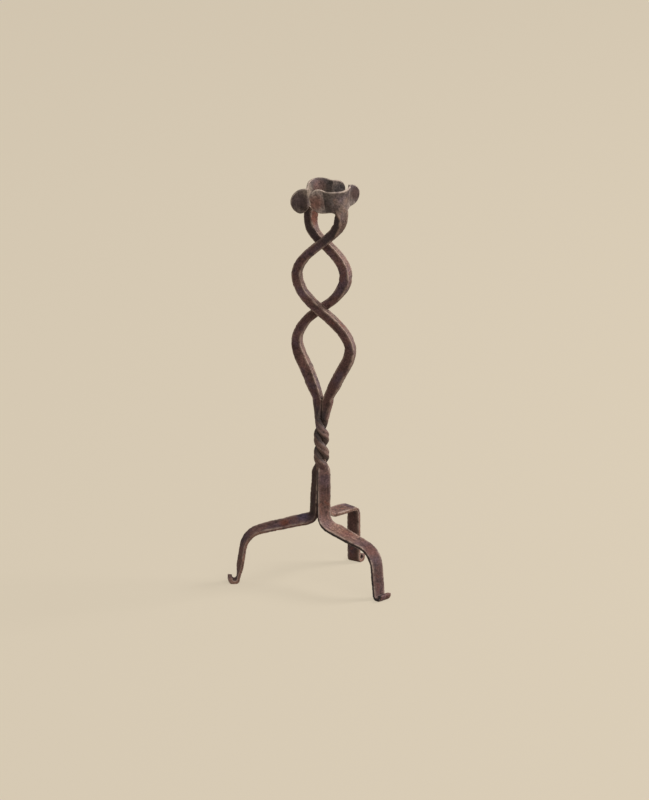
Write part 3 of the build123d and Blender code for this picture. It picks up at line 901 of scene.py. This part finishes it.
# Pale paper-coloured floor. To the camera it glows with most of its own colour, so that the sheet is even and
# only a faint shadow shows; to everything else it is a duller surface that throws little light back.
PAPER = screen(216, 203, 181)
PAPER_GLOW = 0.80
DULL_PAPER = tuple(value * 0.35 for value in PAPER)
FLOOR_SIZE = 6.0
bpy.ops.mesh.primitive_plane_add(size=FLOOR_SIZE, location=(0, 0, -0.05 * MM))
floor = bpy.context.object
floor.name = "floor"
paper = bpy.data.materials.new("paper")
paper.use_nodes = True
sheet = paper.node_tree
sheet.nodes.clear()
rays = node(sheet, "ShaderNodeLightPath")
seen = calculated(sheet, "MAXIMUM", rays.outputs["Is Camera Ray"], rays.outputs["Is Glossy Ray"])
seen = calculated(sheet, "MAXIMUM", seen, rays.outputs["Is Transmission Ray"])
glow = node(sheet, "ShaderNodeEmission")
glow.inputs["Color"].default_value = (*PAPER, 1)
glow.inputs["Strength"].default_value = PAPER_GLOW
lit = node(sheet, "ShaderNodeBsdfDiffuse")
lit.inputs["Color"].default_value = (*(value * (1 - PAPER_GLOW) for value in PAPER), 1)
bright = node(sheet, "ShaderNodeAddShader")
sheet.links.new(glow.outputs["Emission"], bright.inputs[0])
sheet.links.new(lit.outputs["BSDF"], bright.inputs[1])
dull = node(sheet, "ShaderNodeBsdfDiffuse")
dull.inputs["Color"].default_value = (*DULL_PAPER, 1)
either = node(sheet, "ShaderNodeMixShader")
sheet.links.new(seen, either.inputs[0])
sheet.links.new(dull.outputs["BSDF"], either.inputs[1])
sheet.links.new(bright.outputs["Shader"], either.inputs[2])
sheet.links.new(either.outputs["Shader"], node(sheet, "ShaderNodeOutputMaterial").inputs["Surface"])
floor.data.materials.append(paper)

# Soft studio light: a large lamp from the upper right, a weak one from the front left, and a pale room


def lamp(name, azimuth, elevation, size, power):
    """A square soft lamp that faces the middle of the holder."""
    distance = 2.2
    target = Vector((0, 0, 0.12))
    level = math.cos(math.radians(elevation))
    towards = Vector((*(heading(azimuth) * level)[:2], math.sin(math.radians(elevation))))
    light = bpy.data.lights.new(name, "AREA")
    light.size = size
    light.energy = power
    made = bpy.data.objects.new(name, light)
    made.location = target + towards * distance
    made.rotation_euler = (-towards).to_track_quat("-Z", "Y").to_euler()
    bpy.context.scene.collection.objects.link(made)


lamp("key", 12, 38, 0.8, 43)
lamp("fill", -60, 30, 1.6, 16)
room = bpy.data.worlds.new("room")
room.use_nodes = True
room.node_tree.nodes["Background"].inputs["Color"].default_value = (1.0, 0.97, 0.93, 1)
room.node_tree.nodes["Background"].inputs["Strength"].default_value = 0.36
bpy.context.scene.world = room
bpy.context.scene.view_settings.view_transform = "Standard"

# The camera stands where the photograph was taken from: square to the front, looking 18 degrees down
LENS = 300
SENSOR = 36
FRAME_HEIGHT = 800 * 0.61 * MM
ELEVATION = math.radians(18)
aim = STEM + Vector((1.83, 0, 116.3)) * MM
back = Vector((0, -math.cos(ELEVATION), math.sin(ELEVATION)))
camera_data = bpy.data.cameras.new("camera")
camera_data.lens = LENS
camera_data.sensor_width = SENSOR
camera = bpy.data.objects.new("camera", camera_data)
camera.location = aim + back * FRAME_HEIGHT * LENS / SENSOR
camera.rotation_euler = (-back).to_track_quat("-Z", "Y").to_euler()
bpy.context.scene.collection.objects.link(camera)
bpy.context.scene.camera = camera
